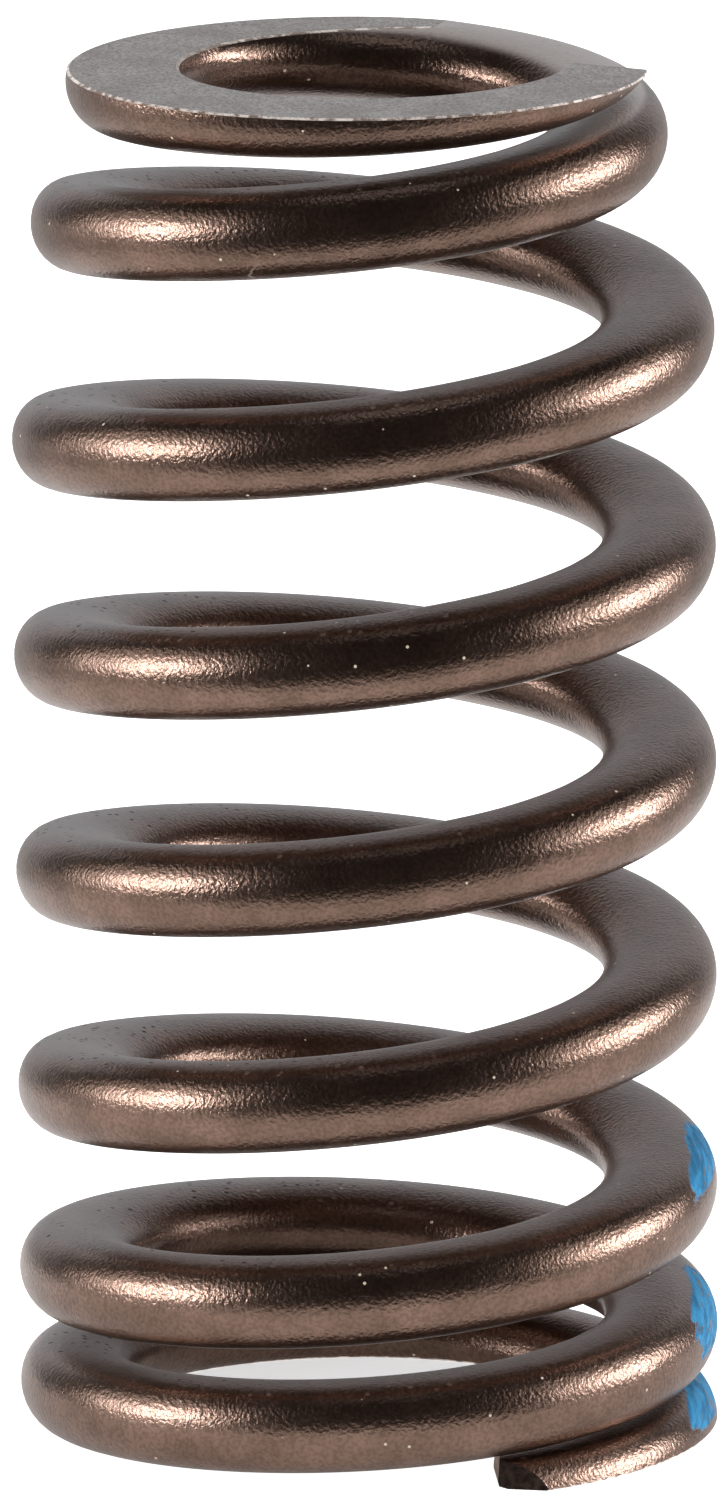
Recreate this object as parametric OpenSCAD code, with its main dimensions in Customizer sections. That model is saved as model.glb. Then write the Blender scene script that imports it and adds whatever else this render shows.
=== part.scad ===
// Engine valve spring, beehive form.
// One length of egg-section steel wire, wound right-handed. The lower coils
// are straight, the top coil is smaller, both ends close up and are ground
// flat. +Z is up, the axis of the coils is the Z axis, and the bottom ground
// face lies on z = 0. All lengths are millimetres.

/* [Spring] */
// Free height between the two ground faces
free_length = 64.9; // [52:0.1:80]
// Outside diameter of the straight lower coils
body_od = 32.9; // [28:0.1:40]
// Outside diameter of the small top coil
top_od = 27.6; // [22.5:0.1:32.9]
// Turns of wire from the bottom tip to the top tip
wire_turns = 8.15; // [6.8:0.01:9.8]
// Direction in which the bottom tip ends, counter-clockwise from +X
bottom_tip_angle = -58.7; // [-180:0.1:180]

/* [Wire section] */
// Width of the wire, measured across the coil
wire_w = 5.35; // [4.4:0.05:6.4]
// Height of the wire, measured along the spring
wire_h = 4.14; // [3.4:0.02:5]
// Distance from the outside of the coil to the highest part of the section
wire_nose = 1.75; // [1.4:0.05:2.2]
// Angle by which the outside of the section hangs down
wire_droop = 7.5; // [0:0.5:10]

/* [Bottom end] */
// Gap between the first two coils, away from the tip
closed_gap = 1.08; // [0.5:0.01:1.5]
// Gap left between the tip and the coil that it closes up to
tip_gap = 0.2; // [0.15:0.01:0.3]
// Turns that stay closed before the coils start to open
closed_turns = 1.05; // [0.85:0.01:1.4]
// Turns over which the coils open to the full pitch
opening_turns = 1.7; // [1.3:0.01:2.1]
// Thickness that grinding leaves at the bottom tip
bottom_tip_h = 1.45; // [1:0.01:2]
// Turns over which the bottom tip lifts towards the next coil
bottom_lift_turns = 0.6; // [0.4:0.01:0.8]
// How far the sheared end stands out in the middle of the wire
bottom_point = 1.9; // [0:0.1:2.4]
// Turns over which the wire is drawn out to that point
point_turns = 0.06; // [0.03:0.01:0.1]

/* [Top end] */
// Turns over which the coils shrink to the top diameter
taper_turns = 1.5; // [1.2:0.01:1.8]
// Turns of the small top coil above the taper
small_turns = 0.6; // [0.4:0.01:0.8]
// Turns over which the coils close towards the top
closing_turns = 1.76; // [1.5:0.01:2.3]
// Gap between the top tip and the coil under it
top_gap = 0.46; // [0.3:0.01:1]
// Thickness that grinding leaves at the top tip
top_tip_h = 0.8; // [0.4:0.01:1]
// Height by which the top tip flares upward before grinding
flare_h = 0.85; // [0.4:0.01:1.1]
// Turns over which the top tip flares
flare_turns = 0.3; // [0.2:0.01:0.4]
// Slant of the cut at the top tip, which leaves the inside of the wire longer
top_cut_slant = 24; // [0:1:30]
// Turns over which the wire is drawn out to that slant
slant_turns = 0.12; // [0.08:0.01:0.2]

/* [Surface detail] */
// Rings of points in each turn of the wire
rings_per_turn = 36; // [24:2:40]
// Points around the wire section, two more than a multiple of four
ring_points = 18; // [14:4:22]

/* [Hidden] */
half_h = wire_h / 2;
inner_w = wire_w - wire_nose;
body_r = body_od / 2 - wire_nose;
top_r = top_od / 2 - wire_nose;

// The bottom end: rise of the closed coils, and where the wire starts
closed_rise = wire_h + closed_gap;
lift_h = closed_gap - tip_gap;
start_z = bottom_tip_h - half_h - lift_h;

// The top end: how high the wire would stand without its flare
end_z = free_length - top_tip_h + half_h - flare_h;

// The two pitches that give the free length and the gap under the top tip
open_turns = wire_turns - closed_turns - opening_turns / 2 - closing_turns / 2;
open_rise = end_z - start_z - closed_rise * (closed_turns + opening_turns / 2);
last_turn_rise = wire_h + top_gap - flare_h;
closed_share = closing_turns * (0.5 - falloff(1 / closing_turns));
open_share = (1 - closed_share) / open_turns;
tip_rise = (last_turn_rise - open_rise * open_share)
         / (closed_share - closing_turns / 2 * open_share);
full_rise = (open_rise - tip_rise * closing_turns / 2) / open_turns;

ring_count = round(wire_turns * rings_per_turn);
high_point = (ring_points - 2) / 4;
low_point = high_point + ring_points / 2;
wheel_margin = 20;

// Which piece to build

// Eased step from 0 to 1, and the area under it up to x
function ease(x) = let (c = min(max(x, 0), 1)) c * c * (3 - 2 * c);
function ease_area(x) = x < 0 ? 0 : x > 1 ? x - 0.5 : x * x * x * (1 - x / 2);
// Area between the eased step and 1, from x onward
function falloff(x) = 0.5 - x + ease_area(x);

// Centre line of the wire, u turns after the bottom tip
function coil_r(u) =
    body_r + (top_r - body_r)
    * ease((u - wire_turns + small_turns + taper_turns) / taper_turns);
function coil_z(u) =
    start_z + closed_rise * u
    + (full_rise - closed_rise) * opening_turns
    * ease_area((u - closed_turns) / opening_turns)
    - (full_rise - tip_rise) * closing_turns
    * falloff((wire_turns - u) / closing_turns)
    + lift_h * pow(max(1 - u / bottom_lift_turns, 0), 2)
    + flare_h * pow(max(1 - (wire_turns - u) / flare_turns, 0), 2);
function coil_angle(u) = bottom_tip_angle + 360 * u;
function coil_point(u) = [
    coil_r(u) * cos(coil_angle(u)),
    coil_r(u) * sin(coil_angle(u)),
    coil_z(u)
];

// Direction of the wire, and the outward direction square to it
function unit(v) = v / norm(v);
function along(u) = unit(coil_point(u + 0.001) - coil_point(u - 0.001));
function outward(u) =
    let (spoke = [cos(coil_angle(u)), sin(coil_angle(u)), 0], wire = along(u))
    unit(spoke - (spoke * wire) * wire);

// Egg section: a blunt nose outside and a longer half ellipse inside
function egg_x(a) = (cos(a) > 0 ? wire_nose : inner_w) * cos(a);
function egg_y(a) = half_h * sin(a);
function section_point(a) = [
    egg_x(a) * cos(wire_droop) + egg_y(a) * sin(wire_droop),
    egg_y(a) * cos(wire_droop) - egg_x(a) * sin(wire_droop)
];
section_angles = [for (k = [0 : ring_points - 1]) 360 * (k + 0.5) / ring_points];
section = [for (a = section_angles) section_point(a)];
// Share of the pointed bottom end that each point of the section has
pointed = [for (a = section_angles) 1 - abs(cos(a))];

// How much a ring leans to the top cut, and stands out to the bottom point
function slant(u) = tan(top_cut_slant) * max(1 - (wire_turns - u) / slant_turns, 0);
function stand_out(u) = bottom_point * max(1 - u / point_turns, 0);

// One ring of points around the centre line
function ring(u) =
    let (c = coil_point(u), wire = along(u), out = outward(u), up = cross(out, wire))
    let (across = out - slant(u) * wire, reach = stand_out(u) * wire)
    [
        for (k = [0 : ring_points - 1])
        c + section[k][0] * across + section[k][1] * up - pointed[k] * reach
    ];

// The wire as wound, before its ends are ground
module wound_wire() {
    rings = [for (i = [0 : ring_count]) ring(wire_turns * i / ring_count)];
    last = ring_count * ring_points;
    sides = [
        for (i = [0 : ring_count - 1], k = [0 : ring_points - 1])
        let (a = i * ring_points + k, b = i * ring_points + (k + 1) % ring_points)
        each [[a, b, a + ring_points], [b, b + ring_points, a + ring_points]]
    ];
    inner_facet = [for (k = [low_point : -1 : high_point]) k];
    outer_facet = [for (k = [high_point : -1 : low_point - ring_points])
        (k + ring_points) % ring_points];
    end_face = [for (k = [0 : ring_points - 1]) last + k];
    faces = concat(sides, [inner_facet, outer_facet, end_face]);
    polyhedron([for (r = rings) each r], faces);
}

// The space between the two grinding wheels
module between_wheels() {
    side = body_od + wheel_margin;
    translate([-side / 2, -side / 2, 0])
        cube([side, side, free_length]);
}

module spring_wire() {
    color([0.36, 0.29, 0.25])
        intersection() {
            wound_wire();
            between_wheels();
        }
}

spring_wire();
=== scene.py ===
import math

import bpy
from mathutils import Matrix, Vector


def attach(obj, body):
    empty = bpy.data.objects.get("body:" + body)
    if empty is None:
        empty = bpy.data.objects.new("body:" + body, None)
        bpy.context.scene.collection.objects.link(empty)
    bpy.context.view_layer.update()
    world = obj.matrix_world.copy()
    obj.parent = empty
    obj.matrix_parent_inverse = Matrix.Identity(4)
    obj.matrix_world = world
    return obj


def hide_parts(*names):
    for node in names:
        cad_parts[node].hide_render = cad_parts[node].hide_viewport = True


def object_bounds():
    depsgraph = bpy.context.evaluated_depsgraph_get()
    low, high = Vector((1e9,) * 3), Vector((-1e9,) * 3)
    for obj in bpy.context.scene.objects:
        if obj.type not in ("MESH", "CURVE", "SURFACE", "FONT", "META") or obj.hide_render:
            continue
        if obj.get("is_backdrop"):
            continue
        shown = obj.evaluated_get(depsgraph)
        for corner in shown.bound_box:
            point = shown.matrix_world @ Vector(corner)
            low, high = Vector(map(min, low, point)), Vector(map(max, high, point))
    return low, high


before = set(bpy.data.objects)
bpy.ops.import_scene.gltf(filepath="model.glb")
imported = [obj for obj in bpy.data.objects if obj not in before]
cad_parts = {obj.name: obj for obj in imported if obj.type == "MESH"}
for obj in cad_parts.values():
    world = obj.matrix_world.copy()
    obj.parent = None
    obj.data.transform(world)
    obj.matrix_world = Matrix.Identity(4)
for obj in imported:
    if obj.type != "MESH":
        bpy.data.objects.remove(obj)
cad_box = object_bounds()

MM = 0.001
IMAGE_W = 724
IMAGE_H = 1500

# Driving dimensions of the spring, the same as in the CAD model
FREE_LENGTH = 64.9 * MM
BODY_OD = 32.9 * MM
TOP_OD = 27.6 * MM
WIRE_TURNS = 8.15
BOTTOM_TIP_ANGLE = -58.7
WIRE_W = 5.35 * MM
WIRE_H = 4.14 * MM
WIRE_NOSE = 1.75 * MM
WIRE_DROOP = 7.5
CLOSED_GAP = 1.08 * MM
TIP_GAP = 0.2 * MM
CLOSED_TURNS = 1.05
OPENING_TURNS = 1.7
BOTTOM_TIP_H = 1.45 * MM
BOTTOM_LIFT_TURNS = 0.6
BOTTOM_POINT = 1.9 * MM
POINT_TURNS = 0.06
TAPER_TURNS = 1.5
SMALL_TURNS = 0.6
CLOSING_TURNS = 1.76
TOP_GAP = 0.46 * MM
TOP_TIP_H = 0.8 * MM
FLARE_H = 0.85 * MM
FLARE_TURNS = 0.3
TOP_CUT_SLANT = 24
SLANT_TURNS = 0.12

# Fineness of the mesh
RINGS_PER_TURN = 150
SIDE_POINTS = 15
CAP_POINTS = 8
CAP_HALF_ANGLE = math.radians(12)
EDGE_ROLL = 0.1 * MM
EDGE_ROLL_MOST = 0.2
WIDEST_CUT = math.radians(150)
HALVINGS = 30
TURN_STEP = 0.001
SHARP_ANGLE = math.radians(32)

# Material slots of the spring
WIRE, GROUND, EDGE, END, END_SIDE = range(5)

# Bronze-brown wire, with a shot-peened grain
WIRE_DARK = (0.205, 0.13, 0.097)
WIRE_LIGHT = (0.275, 0.175, 0.133)
WIRE_GRAIN = (0.07, 0.045, 0.034)
WIRE_ROUGH = 0.28
CLOUD_SIZE = 2.2 * MM
GRAIN_SIZE = 0.19 * MM
GRAIN_DEPTH = 0.04 * MM
GRAIN_SHARE = 0.36

# Painted sheen: grey on the tops of the coils, a painted reflection of the white above, which
# the lowest part of the wire lacks
TOP_SHEEN_COLOUR = (0.165, 0.148, 0.142)
TOP_SHEEN_FACING = (0.8, 1.0)
TOP_SHEEN_Z = (1.9 * MM, 3.2 * MM)
TOP_SHEEN_SHARE = 0.4

# Painted reflection: lighter grey steel beside the top ground face, where it mirrors the white
# above
RING_SHEEN_COLOUR = (0.42, 0.375, 0.35)
RING_SHEEN_FACING = (0.82, 0.97)
RING_SHEEN_Z = (62 * MM, 63.6 * MM)
RING_SHEEN_SHARE = 0.9

# Dirt specks on the tops of the coils, thicker on the left
DIRT_COLOUR = (0.02, 0.013, 0.01)
DIRT_CELL = 0.55 * MM
DIRT_RADIUS = 0.28
DIRT_RARITY = 0.4
DIRT_FACING = (0.72, 0.92)
DIRT_X = (8 * MM, -9 * MM)
DIRT_PATCH = 5 * MM

# Dust specks all over, and fibres on the second coil from the top
DUST_COLOUR = (0.42, 0.35, 0.27)
DUST_CELL = 1.2 * MM
DUST_RADIUS = 0.08
DUST_RARITY = 0.5
FIBRE_COLOUR = (0.5, 0.43, 0.38)
FIBRE_STRETCH = (0.45, 1.0, 1.3)
FIBRE_CURL = 2.2 * MM
FIBRE_WIDTH = (0.006, 0.002)
FIBRE_X = (-7 * MM, 3 * MM)
FIBRE_Z = (52 * MM, 58 * MM)
FIBRE_FADE = 1 * MM
FIBRE_SHARE = 0.45

# Worn paint on the right side of the three lowest coils
PAINT_DARK = (0.012, 0.1, 0.2)
PAINT_LIGHT = (0.025, 0.19, 0.36)
PAINT_X = 15 * MM
PAINT_Y = (-5.2 * MM, 2.6 * MM)
PAINT_Z = (0.46 * MM, 14.26 * MM)
PAINT_EDGE = 0.12 * MM
PAINT_STROKE = (math.radians(15.6), 0.0, math.radians(7.6))
PAINT_DRAWN = (1.0, 9.0, 1.0)
PAINT_RAG = 1.6 * MM
PAINT_RAG_SIZE = 0.9 * MM
PAINT_RAG_X = 0.7
PAINT_RAG_Y = 2.4
PAINT_GAP_SIZE = 0.22 * MM
PAINT_STREAK_SIZE = 0.3 * MM

# Grey ground faces, with pits, stains and the lines of the wheel
GROUND_DARK = (0.17, 0.153, 0.145)
GROUND_LIGHT = (0.4, 0.37, 0.352)
GROUND_STAIN = (0.15, 0.12, 0.1)
GROUND_PIT = (0.05, 0.035, 0.03)
GROUND_GRAIN_SIZE = 0.15 * MM
GROUND_GRAIN_DEPTH = 0.01 * MM
GROUND_STAIN_SIZE = 2.6 * MM
GROUND_LINE_SIZE = 0.25 * MM
GROUND_LINE_DEPTH = 0.012 * MM
GROUND_LINE_DRAWN = (1.0, 0.12, 1.0)
PIT_CELL = 0.9 * MM
PIT_RADIUS = 0.12
PIT_RARITY = 0.75

# Burr along the ground edges, with a painted highlight outside and at the back of the top ring
BURR_DULL = (0.3, 0.22, 0.18)
BURR_HIGHLIGHT = (0.95, 0.84, 0.76)
BURR_BREAK_SIZE = 0.5 * MM
BURR_HIGHLIGHT_OUTER = (11.4 * MM, 12.2 * MM)
BURR_HIGHLIGHT_BEHIND = (4 * MM, 7 * MM)

# Sheared ends of the wire, painted dark as shade, and the inner facet of the bottom end, painted
# lighter as if lit by a lamp
END_SHADE_DARK = (0.018, 0.011, 0.009)
END_SHADE_LIGHT = (0.06, 0.038, 0.03)
END_SIDE_LIT_DARK = (0.24, 0.15, 0.11)
END_SIDE_LIT_LIGHT = (0.7, 0.5, 0.4)
END_GRAIN_SIZE = 0.3 * MM
END_GRAIN_DEPTH = 0.03 * MM

# White table: how far it reaches, fades and counts as close
TABLE_HALF = 3
TABLE_FADE = (-0.1, -0.035)
TABLE_CLOSE = (0.16, 0.08)
# Painted light: beyond these the table glows fully white, which hides the spring's shadow
# outside the lowest coil
PAINTED_LIGHT_REACH = (15 * MM, 17 * MM)
PAINTED_LIGHT_FRONT = (6 * MM, 2 * MM)
TABLE_GREY = 0.58
TABLE_GLOW = 0.62
MIRRORED_GREY = 0.66
MIRRORED_GLOW = 0.17
MIRRORED_FAR = 0.6

# Low grey-blue wall behind the spring, and the dark round it, which only the wire mirrors
WALL_COLOUR = (0.6, 0.64, 0.69)
DARK_COLOUR = (0.005, 0.004, 0.004)
WALL_SIDE = (-0.93, -0.65)
WALL_TOP = (0.48, 0.78)
WALL_ZENITH = (1.0, 0.94)

# Soft lamps, each kind on both sides of the spring
LAMP = {"size": (0.16, 0.09), "power": 0.62, "colour": (0.94, 0.98, 1.05), "distance": 0.35}
GLOW = {"size": (0.36, 0.12), "power": 0.36, "colour": (0.96, 0.99, 1.03), "distance": 0.37}
PANEL = {"size": (0.3, 0.13), "power": 0.13, "colour": (0.98, 0.99, 1.0), "distance": 0.37}

# The camera, from the outline of the photographed coils
CAMERA_DISTANCE = 0.8994
CAMERA_ELEVATION = 12.2956
CAMERA_ROLL = -0.3355
AIM_HEIGHT = 0.032
FOCAL_PIXELS = 19172
CENTRE_X = 365.7
CENTRE_Y = 755.9
SENSOR = 36


# Winding law
def ease(x):
    """Eased step from 0 to 1."""
    c = min(max(x, 0), 1)
    return c * c * (3 - 2 * c)


def ease_area(x):
    """Area under the eased step, up to x."""
    if x < 0:
        return 0
    if x > 1:
        return x - 0.5
    return x * x * x * (1 - x / 2)


def falloff(x):
    """Area between the eased step and 1, from x onward."""
    return 0.5 - x + ease_area(x)


class Winding:
    """Centre line of the wire, from the driving dimensions."""

    def __init__(self):
        self.half_h = WIRE_H / 2
        self.inner_w = WIRE_W - WIRE_NOSE
        self.body_r = BODY_OD / 2 - WIRE_NOSE
        self.top_r = TOP_OD / 2 - WIRE_NOSE
        self.closed_rise = WIRE_H + CLOSED_GAP
        self.lift_h = CLOSED_GAP - TIP_GAP
        self.start_z = BOTTOM_TIP_H - self.half_h - self.lift_h
        end_z = FREE_LENGTH - TOP_TIP_H + self.half_h - FLARE_H
        open_turns = WIRE_TURNS - CLOSED_TURNS - OPENING_TURNS / 2 - CLOSING_TURNS / 2
        open_rise = end_z - self.start_z
        open_rise -= self.closed_rise * (CLOSED_TURNS + OPENING_TURNS / 2)
        last_turn_rise = WIRE_H + TOP_GAP - FLARE_H
        closed_share = CLOSING_TURNS * (0.5 - falloff(1 / CLOSING_TURNS))
        open_share = (1 - closed_share) / open_turns
        self.tip_rise = (last_turn_rise - open_rise * open_share) / (
            closed_share - CLOSING_TURNS / 2 * open_share
        )
        self.full_rise = (open_rise - self.tip_rise * CLOSING_TURNS / 2) / open_turns

    def radius(self, u):
        taper = ease((u - WIRE_TURNS + SMALL_TURNS + TAPER_TURNS) / TAPER_TURNS)
        return self.body_r + (self.top_r - self.body_r) * taper

    def height(self, u):
        z = self.start_z + self.closed_rise * u
        opened = OPENING_TURNS * ease_area((u - CLOSED_TURNS) / OPENING_TURNS)
        closed = CLOSING_TURNS * falloff((WIRE_TURNS - u) / CLOSING_TURNS)
        z += (self.full_rise - self.closed_rise) * opened
        z -= (self.full_rise - self.tip_rise) * closed
        z += self.lift_h * max(1 - u / BOTTOM_LIFT_TURNS, 0) ** 2
        z += FLARE_H * max(1 - (WIRE_TURNS - u) / FLARE_TURNS, 0) ** 2
        return z

    def angle(self, u):
        return math.radians(BOTTOM_TIP_ANGLE + 360 * u)

    def point(self, u):
        a = self.angle(u)
        r = self.radius(u)
        return Vector((r * math.cos(a), r * math.sin(a), self.height(u)))

    def along(self, u):
        step = self.point(u + TURN_STEP) - self.point(u - TURN_STEP)
        return step.normalized()

    def axes(self, u):
        """Directions across the coil, slanted near the top tip, and upward."""
        along = self.along(u)
        a = self.angle(u)
        spoke = Vector((math.cos(a), math.sin(a), 0))
        out = (spoke - along * spoke.dot(along)).normalized()
        up = out.cross(along)
        slant = math.tan(math.radians(TOP_CUT_SLANT))
        slant *= max(1 - (WIRE_TURNS - u) / SLANT_TURNS, 0)
        return out - along * slant, up


def section_axes(coil, u):
    """Centre, and the two section directions turned by the droop."""
    out, up = coil.axes(u)
    turn = math.radians(WIRE_DROOP)
    across = out * math.cos(turn) - up * math.sin(turn)
    rise = out * math.sin(turn) + up * math.cos(turn)
    return coil.point(u), across, rise


def section_width(coil, angle):
    return WIRE_NOSE if math.cos(angle) > 0 else coil.inner_w


def outline_point(coil, place, angle):
    centre, across, rise = place
    x = section_width(coil, angle) * math.cos(angle)
    return centre + across * x + rise * (coil.half_h * math.sin(angle))


def cap_middle(coil, place, top):
    """Section angle of the highest or the lowest point of the outline."""
    centre, across, rise = place
    sign = 1 if top else -1
    for width, side in ((WIRE_NOSE, 1), (coil.inner_w, -1)):
        angle = math.atan2(sign * coil.half_h * rise.z, sign * width * across.z)
        if math.cos(angle) * side >= 0:
            return angle
    return sign * math.pi / 2


def cap_reach(coil, place, plane_z, middle, side, top):
    """How far from its middle the outline leaves a ground plane, as an angle."""
    sign = 1 if top else -1
    if sign * (outline_point(coil, place, middle).z - plane_z) <= 0:
        return 0
    near = 0
    far = WIDEST_CUT
    for _ in range(HALVINGS):
        mid = (near + far) / 2
        if sign * (outline_point(coil, place, middle + side * mid).z - plane_z) > 0:
            near = mid
        else:
            far = mid
    return near


class Cap:
    """The arc over the top or the bottom of one ring, flat where it is ground."""

    def __init__(self, coil, place, top):
        self.plane_z = FREE_LENGTH if top else 0
        self.turn = 1 if top else -1
        middle = cap_middle(coil, place, top)
        outer = cap_reach(coil, place, self.plane_z, middle, -self.turn, top)
        inner = cap_reach(coil, place, self.plane_z, middle, self.turn, top)
        self.is_cut = min(outer, inner) > CAP_HALF_ANGLE
        self.outer = middle - self.turn * max(outer, CAP_HALF_ANGLE)
        self.inner = middle + self.turn * max(inner, CAP_HALF_ANGLE)

    def points(self, coil, place):
        """From the outer end to the inner end of the arc."""
        first = outline_point(coil, place, self.outer)
        last = outline_point(coil, place, self.inner)
        if self.is_cut:
            inset = min(EDGE_ROLL / (last - first).length, EDGE_ROLL_MOST)
            for i in range(CAP_POINTS + 1):
                share = inset + (1 - 2 * inset) * i / CAP_POINTS
                yield first.lerp(last, share)
            return
        for i in range(CAP_POINTS + 1):
            angle = self.outer + (self.inner - self.outer) * i / CAP_POINTS
            yield outline_point(coil, place, angle)


def side_points(coil, place, start, end, start_cut, end_cut):
    """Between two arcs, kept a little away from a ground edge."""
    roll = EDGE_ROLL / coil.half_h
    if start_cut:
        start += roll
    if end_cut:
        end -= roll
    for i in range(1, SIDE_POINTS):
        share = i / SIDE_POINTS
        if start_cut:
            share = (i - 1) / (SIDE_POINTS - 1)
        if end_cut:
            share = i / (SIDE_POINTS - 1)
        yield outline_point(coil, place, start + (end - start) * share)


def ring_points(coil, u):
    """One closed ring, and whether its top and its bottom are ground."""
    place = section_axes(coil, u)
    top = Cap(coil, place, True)
    low = Cap(coil, place, False)
    ring = list(top.points(coil, place))
    full = 2 * math.pi
    low_inner = low.inner % full
    ring += side_points(coil, place, top.inner, low_inner, top.is_cut, low.is_cut)
    ring += reversed(list(low.points(coil, place)))
    low_outer = (low.outer + math.pi) % full - math.pi
    ring += side_points(coil, place, low_outer, top.outer, low.is_cut, top.is_cut)
    stand_out = BOTTOM_POINT * max(1 - u / POINT_TURNS, 0)
    if stand_out:
        draw_out(coil, ring, u, place, stand_out)
    for p in ring:
        p.z = min(max(p.z, 0), FREE_LENGTH)
    return ring, top.is_cut, low.is_cut


def draw_out(coil, ring, u, place, reach):
    """Middle of the sheared bottom end stands out beyond its two sides."""
    centre, across, rise = place
    wire = coil.along(u)
    for p in ring:
        x = (p - centre).dot(across)
        width = WIRE_NOSE if x > 0 else coil.inner_w
        p -= wire * (reach * (1 - min(abs(x) / width, 1)))


def cell_slot(i, top_cut, low_cut):
    """Material slot of a cell of the ring: wire, ground face, or the edge beside it."""
    low_first = CAP_POINTS + SIDE_POINTS
    for first, is_cut in ((0, top_cut), (low_first, low_cut)):
        if is_cut and first <= i < first + CAP_POINTS:
            return GROUND
        if is_cut and i in (first + CAP_POINTS, (first - 1) % (2 * low_first)):
            return EDGE
    return WIRE


def wire_mesh(coil):
    count = round(WIRE_TURNS * RINGS_PER_TURN)
    verts = []
    faces = []
    slots = []
    cuts = []
    for k in range(count + 1):
        ring, top_cut, low_cut = ring_points(coil, WIRE_TURNS * k / count)
        verts += ring
        cuts.append((top_cut, low_cut))
    size = len(ring)
    for k in range(count):
        top_cut = cuts[k][0] and cuts[k + 1][0]
        low_cut = cuts[k][1] and cuts[k + 1][1]
        for i in range(size):
            j = (i + 1) % size
            a = k * size
            b = a + size
            faces.append((a + i, b + i, b + j, a + j))
            slots.append(cell_slot(i, top_cut, low_cut))
    high = CAP_POINTS // 2
    low = high + size // 2
    faces.append(tuple(range(high, low + 1)))
    faces.append(tuple(range(low, size)) + tuple(range(high + 1)))
    faces.append(tuple(count * size + i for i in reversed(range(size))))
    slots += [END_SIDE, END, END]
    mesh = bpy.data.meshes.new("spring_wire_mesh")
    mesh.from_pydata(verts, [], faces)
    mesh.polygons.foreach_set("material_index", slots)
    mesh.polygons.foreach_set("use_smooth", [True] * len(faces))
    mesh.update()
    return mesh


def add_piece(name, data):
    piece = bpy.data.objects.new(name, data)
    bpy.context.scene.collection.objects.link(piece)
    return piece


class Nodes:
    """Short way to add and join shader nodes."""

    def __init__(self, owner):
        owner.use_nodes = True
        self.tree = owner.node_tree
        self.tree.nodes.clear()

    def add(self, kind, values=(), **settings):
        node = self.tree.nodes.new(kind)
        for key, value in settings.items():
            setattr(node, key, value)
        for key, value in dict(values).items():
            self.put(node.inputs[key], value)
        return node

    def put(self, socket, value):
        if isinstance(value, bpy.types.NodeSocket):
            self.tree.links.new(value, socket)
            return
        if isinstance(value, tuple) and len(value) == 3 and socket.type == "RGBA":
            value = (*value, 1)
        socket.default_value = value

    def math(self, operation, *inputs):
        return self.add("ShaderNodeMath", enumerate(inputs), operation=operation).outputs[0]

    def product(self, first, *others):
        for other in others:
            first = self.math("MULTIPLY", first, other)
        return first

    def greatest(self, first, *others):
        for other in others:
            first = self.math("MAXIMUM", first, other)
        return first

    def ramp(self, value, low, high, out_low=0.0, out_high=1.0):
        """Smooth change from one value to another."""
        values = {"Value": value, "From Min": low, "From Max": high}
        values.update({"To Min": out_low, "To Max": out_high})
        node = self.add("ShaderNodeMapRange", values, interpolation_type="SMOOTHSTEP")
        return node.outputs["Result"]

    def contrast(self, noise, half_width):
        """Noise about its middle value, spread to the full range."""
        return self.ramp(noise, 0.5 - half_width, 0.5 + half_width)

    def band(self, value, limits, soft):
        """1 between the two limits, with soft ends."""
        low, high = limits
        rise = self.ramp(value, low - soft, low + soft)
        return self.product(rise, self.ramp(value, high + soft, high - soft))

    def mix(self, share, a, b):
        node = self.add("ShaderNodeMix", {0: share, 6: a, 7: b}, data_type="RGBA")
        return node.outputs[2]

    def noise(self, place, size, detail=2.0, rough=0.5):
        values = {"Vector": place, "Scale": 1 / size, "Detail": detail, "Roughness": rough}
        return self.add("ShaderNodeTexNoise", values).outputs["Fac"]

    def object_place(self):
        return self.add("ShaderNodeTexCoord").outputs["Object"]

    def parts(self, vector):
        return self.add("ShaderNodeSeparateXYZ", {"Vector": vector}).outputs

    def facing_up(self):
        """1 where the surface faces straight up, 0 where it is upright."""
        return self.parts(self.add("ShaderNodeNewGeometry").outputs["Normal"])["Z"]

    def length(self, vector):
        node = self.add("ShaderNodeVectorMath", {0: vector}, operation="LENGTH")
        return node.outputs["Value"]

    def is_mirrored(self):
        return self.add("ShaderNodeLightPath").outputs["Is Glossy Ray"]

    def bump(self, height, distance, strength, below=None):
        values = {"Height": height, "Distance": distance, "Strength": strength}
        if below is not None:
            values["Normal"] = below
        return self.add("ShaderNodeBump", values).outputs["Normal"]

    def glowing(self, diffuse, glow):
        """Diffuse surface that also gives off light of its own."""
        lit = self.add("ShaderNodeBsdfDiffuse", {"Color": diffuse})
        own = self.add("ShaderNodeEmission", {"Color": glow})
        return self.add("ShaderNodeAddShader", {0: lit.outputs[0], 1: own.outputs[0]}).outputs[0]

    def surface(self, values):
        shader = self.add("ShaderNodeBsdfPrincipled", values)
        self.finish(shader.outputs["BSDF"])

    def finish(self, shader, kind="Material"):
        self.add(f"ShaderNodeOutput{kind}", {"Surface": shader})


def specks(n, place, size, radius, rarity):
    """Small round spots in a few of the cells only."""
    cells = n.add("ShaderNodeTexVoronoi", {"Vector": place, "Scale": 1 / size})
    picked = n.add("ShaderNodeSeparateColor", {"Color": cells.outputs["Color"]}).outputs[0]
    near = n.ramp(cells.outputs["Distance"], radius, radius * 0.6)
    return n.product(near, n.math("GREATER_THAN", picked, rarity))


def fibres(n, place):
    """Thin curved threads of dust, drawn along one level of a noise."""
    drawn = n.add("ShaderNodeMapping", {"Vector": place, "Scale": FIBRE_STRETCH})
    field = n.noise(drawn.outputs["Vector"], FIBRE_CURL, 0.0)
    line = n.ramp(n.math("ABSOLUTE", n.math("SUBTRACT", field, 0.5)), *FIBRE_WIDTH)
    part = n.parts(place)
    across = n.band(part["X"], FIBRE_X, FIBRE_FADE)
    height = n.band(part["Z"], FIBRE_Z, FIBRE_FADE)
    return n.product(line, height, across, FIBRE_SHARE)


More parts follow.
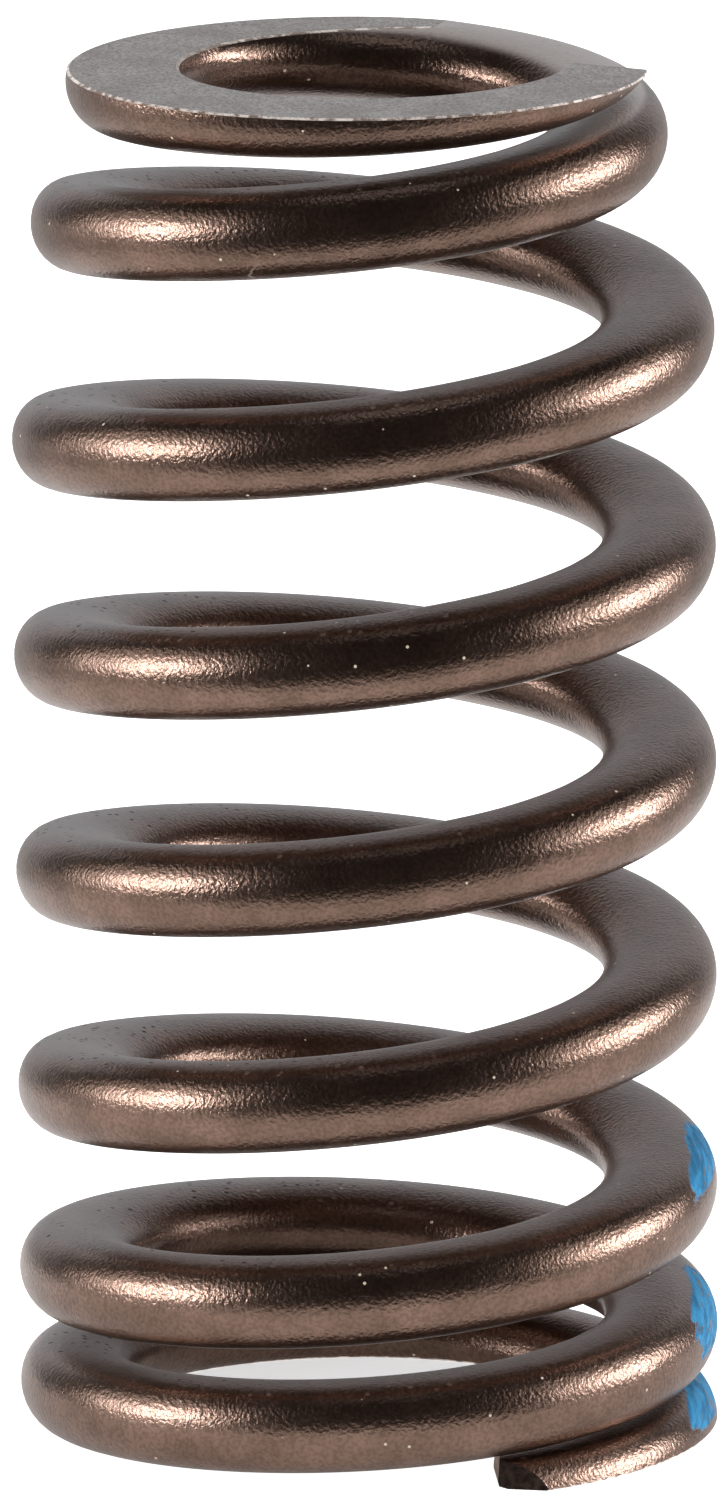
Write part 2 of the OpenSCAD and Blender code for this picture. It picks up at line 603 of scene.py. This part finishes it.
def brushed(n, place, size, detail=2.0):
    """Noise drawn out along the strokes of the brush."""
    settings = {"Vector": place, "Rotation": PAINT_STROKE, "Scale": PAINT_DRAWN}
    strokes = n.add("ShaderNodeMapping", settings, vector_type="TEXTURE")
    return n.noise(strokes.outputs["Vector"], size, detail)


def paint_share(n, place, facing_up):
    """Where the paint still lies: ragged ends, and gaps between the bristles."""
    part = n.parts(place)
    z = part["Z"]
    rag = brushed(n, place, PAINT_RAG_SIZE, 3.0)
    rag = n.math("MULTIPLY_ADD", rag, PAINT_RAG, -PAINT_RAG / 2)
    x = n.math("MULTIPLY_ADD", rag, PAINT_RAG_X, part["X"])
    y = n.math("MULTIPLY_ADD", rag, PAINT_RAG_Y, part["Y"])
    outside = n.ramp(x, PAINT_X - PAINT_EDGE, PAINT_X + PAINT_EDGE)
    along = n.band(y, PAINT_Y, PAINT_EDGE)
    height = n.band(z, PAINT_Z, PAINT_EDGE / 2)
    lowest_facing = n.ramp(z, 8 * MM, 11 * MM, -0.25, 0.25)
    upper = n.ramp(n.math("SUBTRACT", facing_up, lowest_facing), 0.0, 0.12)
    gaps = n.ramp(brushed(n, place, PAINT_GAP_SIZE), 0.3, 0.4, 0.25, 1.0)
    return n.product(outside, along, height, upper, gaps)


# Painted sheen: a grey painted reflection on the up-facing tops, thinner in the grain
def top_sheen_share(n, z, facing_up, grain):
    tops = n.ramp(facing_up, *TOP_SHEEN_FACING, 0.0, TOP_SHEEN_SHARE)
    thinner = n.ramp(grain, 0.25, 0.6, 0.65, 1.0)
    return n.product(tops, thinner, n.ramp(z, *TOP_SHEEN_Z))


def dirt_share(n, place, x, facing_up):
    patches = n.ramp(n.noise(place, DIRT_PATCH, 1.0), 0.38, 0.58)
    tops = n.ramp(facing_up, *DIRT_FACING)
    left = n.ramp(x, *DIRT_X, 0.2, 1.0)
    spots = specks(n, place, DIRT_CELL, DIRT_RADIUS, DIRT_RARITY)
    return n.product(spots, patches, tops, left)


def wire_material():
    """Peened wire, and one layer after another of what lies on it, with painted sheen on the
    tops and a painted reflection beside the top ground face.
    """
    material = bpy.data.materials.new("wire_steel")
    n = Nodes(material)
    place = n.object_place()
    part = n.parts(place)
    facing_up = n.facing_up()
    cloud = n.noise(place, CLOUD_SIZE, 3.0)
    grain = n.noise(place, GRAIN_SIZE, 2.0)
    top_sheen = top_sheen_share(n, part["Z"], facing_up, grain)
    # Painted reflection: lighter grey on the up-facing wire beside the top ground face
    ring_sheen = n.ramp(part["Z"], *RING_SHEEN_Z, 0.0, RING_SHEEN_SHARE)
    ring_sheen = n.product(ring_sheen, n.ramp(facing_up, *RING_SHEEN_FACING))
    dirt = dirt_share(n, place, part["X"], facing_up)
    dust = specks(n, place, DUST_CELL, DUST_RADIUS, DUST_RARITY)
    threads = fibres(n, place)
    paint = paint_share(n, place, facing_up)
    streaks = n.contrast(brushed(n, place, PAINT_STREAK_SIZE), 0.15)
    colour = n.mix(n.contrast(cloud, 0.2), WIRE_DARK, WIRE_LIGHT)
    colour = n.mix(n.ramp(grain, 0.6, 0.36, 0.0, GRAIN_SHARE), colour, WIRE_GRAIN)
    colour = n.mix(top_sheen, colour, TOP_SHEEN_COLOUR)
    colour = n.mix(ring_sheen, colour, RING_SHEEN_COLOUR)
    colour = n.mix(dirt, colour, DIRT_COLOUR)
    colour = n.mix(dust, colour, DUST_COLOUR)
    colour = n.mix(threads, colour, FIBRE_COLOUR)
    colour = n.mix(paint, colour, n.mix(streaks, PAINT_DARK, PAINT_LIGHT))
    # Painted sheen and painted reflection make the tops less metallic and rougher
    painted_sheen = n.greatest(top_sheen, ring_sheen)
    covered = n.greatest(paint, dust, dirt, threads)
    metallic = n.math("SUBTRACT", n.ramp(painted_sheen, 0.0, 1.0, 1.0, 0.45), covered)
    rough = n.math("MULTIPLY_ADD", painted_sheen, 0.12, WIRE_ROUGH)
    values = {"Base Color": colour, "Metallic": n.greatest(metallic, 0.0)}
    values["Roughness"] = n.math("MULTIPLY_ADD", covered, 0.25, rough)
    values["Specular IOR Level"] = n.math("MULTIPLY_ADD", n.greatest(paint, dirt), -0.4, 0.5)
    values["Normal"] = n.bump(grain, GRAIN_DEPTH, 1.0)
    n.surface(values)
    return material


def ground_material():
    material = bpy.data.materials.new("ground_steel")
    n = Nodes(material)
    place = n.object_place()
    grain = n.noise(place, GROUND_GRAIN_SIZE, 3.0, 0.65)
    drawn = n.add("ShaderNodeMapping", {"Vector": place, "Scale": GROUND_LINE_DRAWN})
    lines = n.noise(drawn.outputs["Vector"], GROUND_LINE_SIZE)
    stains = n.ramp(n.noise(place, GROUND_STAIN_SIZE), 0.35, 0.7, 0.0, 0.35)
    pits = specks(n, place, PIT_CELL, PIT_RADIUS, PIT_RARITY)
    colour = n.mix(n.contrast(grain, 0.16), GROUND_DARK, GROUND_LIGHT)
    colour = n.mix(stains, colour, GROUND_STAIN)
    colour = n.mix(pits, colour, GROUND_PIT)
    shape = n.bump(grain, GROUND_GRAIN_DEPTH, 0.6)
    shape = n.bump(lines, GROUND_LINE_DEPTH, 0.35, shape)
    n.surface({"Base Color": colour, "Metallic": 0.3, "Roughness": 0.55, "Normal": shape})
    return material


def burr_and_highlight_material():
    """Burr left along the ground edges, with a painted highlight outside and at the back of the
    top ring, broken here and there.
    """
    material = bpy.data.materials.new("burr_painted_highlight")
    n = Nodes(material)
    place = n.object_place()
    whole = n.contrast(n.noise(place, BURR_BREAK_SIZE, 3.0, 0.7), 0.1)
    flat = n.add("ShaderNodeVectorMath", {0: place, 1: (1.0, 1.0, 0.0)}, operation="MULTIPLY")
    outer = n.ramp(n.length(flat.outputs[0]), *BURR_HIGHLIGHT_OUTER, 0.3, 1.0)
    behind = n.ramp(n.parts(place)["Y"], *BURR_HIGHLIGHT_BEHIND)
    # Painted highlight: the burr is brighter outside and at the back of the top ring
    highlight = n.product(whole, n.greatest(outer, behind))
    colour = n.mix(highlight, BURR_DULL, BURR_HIGHLIGHT)
    n.surface({"Base Color": colour, "Metallic": 0.6, "Roughness": 0.4})
    return material


def end_material(name, dark, light):
    material = bpy.data.materials.new(name)
    n = Nodes(material)
    grain = n.noise(n.object_place(), END_GRAIN_SIZE, 3.0)
    colour = n.mix(n.contrast(grain, 0.2), dark, light)
    shape = n.bump(grain, END_GRAIN_DEPTH, 0.5)
    n.surface({"Base Color": colour, "Metallic": 0.9, "Roughness": 0.4, "Normal": shape})
    return material


def table_material():
    """White table with painted light round the spring and in front of it, so that its shadow
    shows only inside the spring, and that the wire mirrors.
    """
    material = bpy.data.materials.new("white_floor")
    n = Nodes(material)
    place = n.object_place()
    depth = n.parts(place)["Y"]
    reach = n.length(place)
    # Painted light round the spring and in front of it hides the shadow there
    outside = n.greatest(n.ramp(reach, *PAINTED_LIGHT_REACH), n.ramp(depth, *PAINTED_LIGHT_FRONT))
    white = n.math("MULTIPLY_ADD", outside, 1 - TABLE_GLOW, TABLE_GLOW)
    seen = n.glowing((TABLE_GREY, TABLE_GREY, TABLE_GREY), white)
    near = n.ramp(depth, *TABLE_FADE)
    close = n.product(near, n.ramp(reach, *TABLE_CLOSE))
    far = n.product(n.math("SUBTRACT", near, close), MIRRORED_FAR)
    grey = n.math("MULTIPLY_ADD", close, MIRRORED_GLOW, far)
    mirrored = n.glowing(n.product(close, MIRRORED_GREY), grey)
    both = n.add("ShaderNodeMixShader", {0: n.is_mirrored(), 1: seen, 2: mirrored})
    n.finish(both.outputs[0])
    return material


def add_table():
    mesh = bpy.data.meshes.new("floor_mesh")
    r = TABLE_HALF
    mesh.from_pydata([(-r, -r, 0), (r, -r, 0), (r, r, 0), (-r, r, 0)], [], [(0, 1, 2, 3)])
    mesh.materials.append(table_material())
    add_piece("floor", mesh)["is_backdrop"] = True


def add_world():
    """White all round, but the wire mirrors a low wall behind and darkness elsewhere."""
    world = bpy.data.worlds.new("studio")
    bpy.context.scene.world = world
    n = Nodes(world)
    part = n.parts(n.add("ShaderNodeTexCoord").outputs["Generated"])
    z = part["Z"]
    level = n.math("SQRT", n.math("SUBTRACT", 1.0001, n.product(z, z)))
    front = n.math("DIVIDE", n.product(part["Y"], -1.0), level)
    dark = n.greatest(n.ramp(front, *WALL_SIDE), n.ramp(z, *WALL_TOP))
    dark = n.product(dark, n.ramp(z, *WALL_ZENITH))
    mirrored = n.mix(dark, WALL_COLOUR, DARK_COLOUR)
    colour = n.mix(n.is_mirrored(), (1.0, 1.0, 1.0), mirrored)
    back = n.add("ShaderNodeBackground", {"Color": colour, "Strength": 1.0})
    n.finish(back.outputs[0], "World")


def add_lamp(name, azimuth, elevation, size, power, colour, distance):
    """Soft lamp aimed at the spring; azimuth from the front, towards +X."""
    a = math.radians(azimuth)
    e = math.radians(elevation)
    toward = Vector((math.sin(a) * math.cos(e), -math.cos(a) * math.cos(e), math.sin(e)))
    data = bpy.data.lights.new(name, "AREA")
    data.shape = "RECTANGLE"
    data.size, data.size_y = size
    data.energy = power
    data.color = colour
    lamp = add_piece(name, data)
    lamp.location = Vector((0, 0, FREE_LENGTH / 2)) + toward * distance
    lamp.rotation_euler = toward.to_track_quat("Z", "Y").to_euler()
    lamp.visible_camera = False


def add_camera():
    e = math.radians(CAMERA_ELEVATION)
    roll = math.radians(CAMERA_ROLL)
    forward = Vector((0, math.cos(e), -math.sin(e)))
    right = Vector((1, 0, 0))
    up = right.cross(forward)
    side = right * math.cos(roll) + up * math.sin(roll)
    head = up * math.cos(roll) - right * math.sin(roll)
    data = bpy.data.cameras.new("photo_camera")
    data.sensor_fit = "AUTO"
    data.sensor_width = SENSOR
    data.lens = FOCAL_PIXELS / IMAGE_H * SENSOR
    data.shift_x = -(CENTRE_X - IMAGE_W / 2) / IMAGE_H
    data.shift_y = (CENTRE_Y - IMAGE_H / 2) / IMAGE_H
    data.clip_start = 0.01
    data.clip_end = 20
    camera = add_piece("photo_camera", data)
    place = Vector((0, 0, AIM_HEIGHT)) - forward * CAMERA_DISTANCE
    turn = Matrix((side, head, -forward)).transposed().to_4x4()
    camera.matrix_world = Matrix.Translation(place) @ turn
    bpy.context.scene.camera = camera


def add_spring():
    """The wire, with its materials in the order of the slots."""
    spring = add_piece("spring_wire", wire_mesh(Winding()))
    materials = [wire_material(), ground_material(), burr_and_highlight_material()]
    # Painted shade on the sheared ends, and painted light on the inner facet of the bottom end
    materials.append(end_material("cut_end_painted_shade", END_SHADE_DARK, END_SHADE_LIGHT))
    materials.append(end_material("cut_side_painted_light", END_SIDE_LIT_DARK, END_SIDE_LIT_LIGHT))
    for material in materials:
        spring.data.materials.append(material)
    spring.data.set_sharp_from_angle(angle=SHARP_ANGLE)
    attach(spring, "root")
    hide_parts("spring_wire")


def save_size():
    rows = {"cad": cad_box, "visual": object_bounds()}
    rows = {name: [list(corner) for corner in rows[name]] for name in rows}


add_spring()
add_table()
add_world()
add_lamp("left_lamp", -74, 12, **LAMP)
add_lamp("left_glow", -84, 11, **GLOW)
add_lamp("right_lamp", 94, 12, **LAMP)
add_lamp("right_glow", 88, 11, **GLOW)
add_lamp("left_panel", -84, 31, **PANEL)
add_lamp("right_panel", 88, 31, **PANEL)
add_camera()
bpy.context.scene.view_settings.view_transform = "Standard"
save_size()
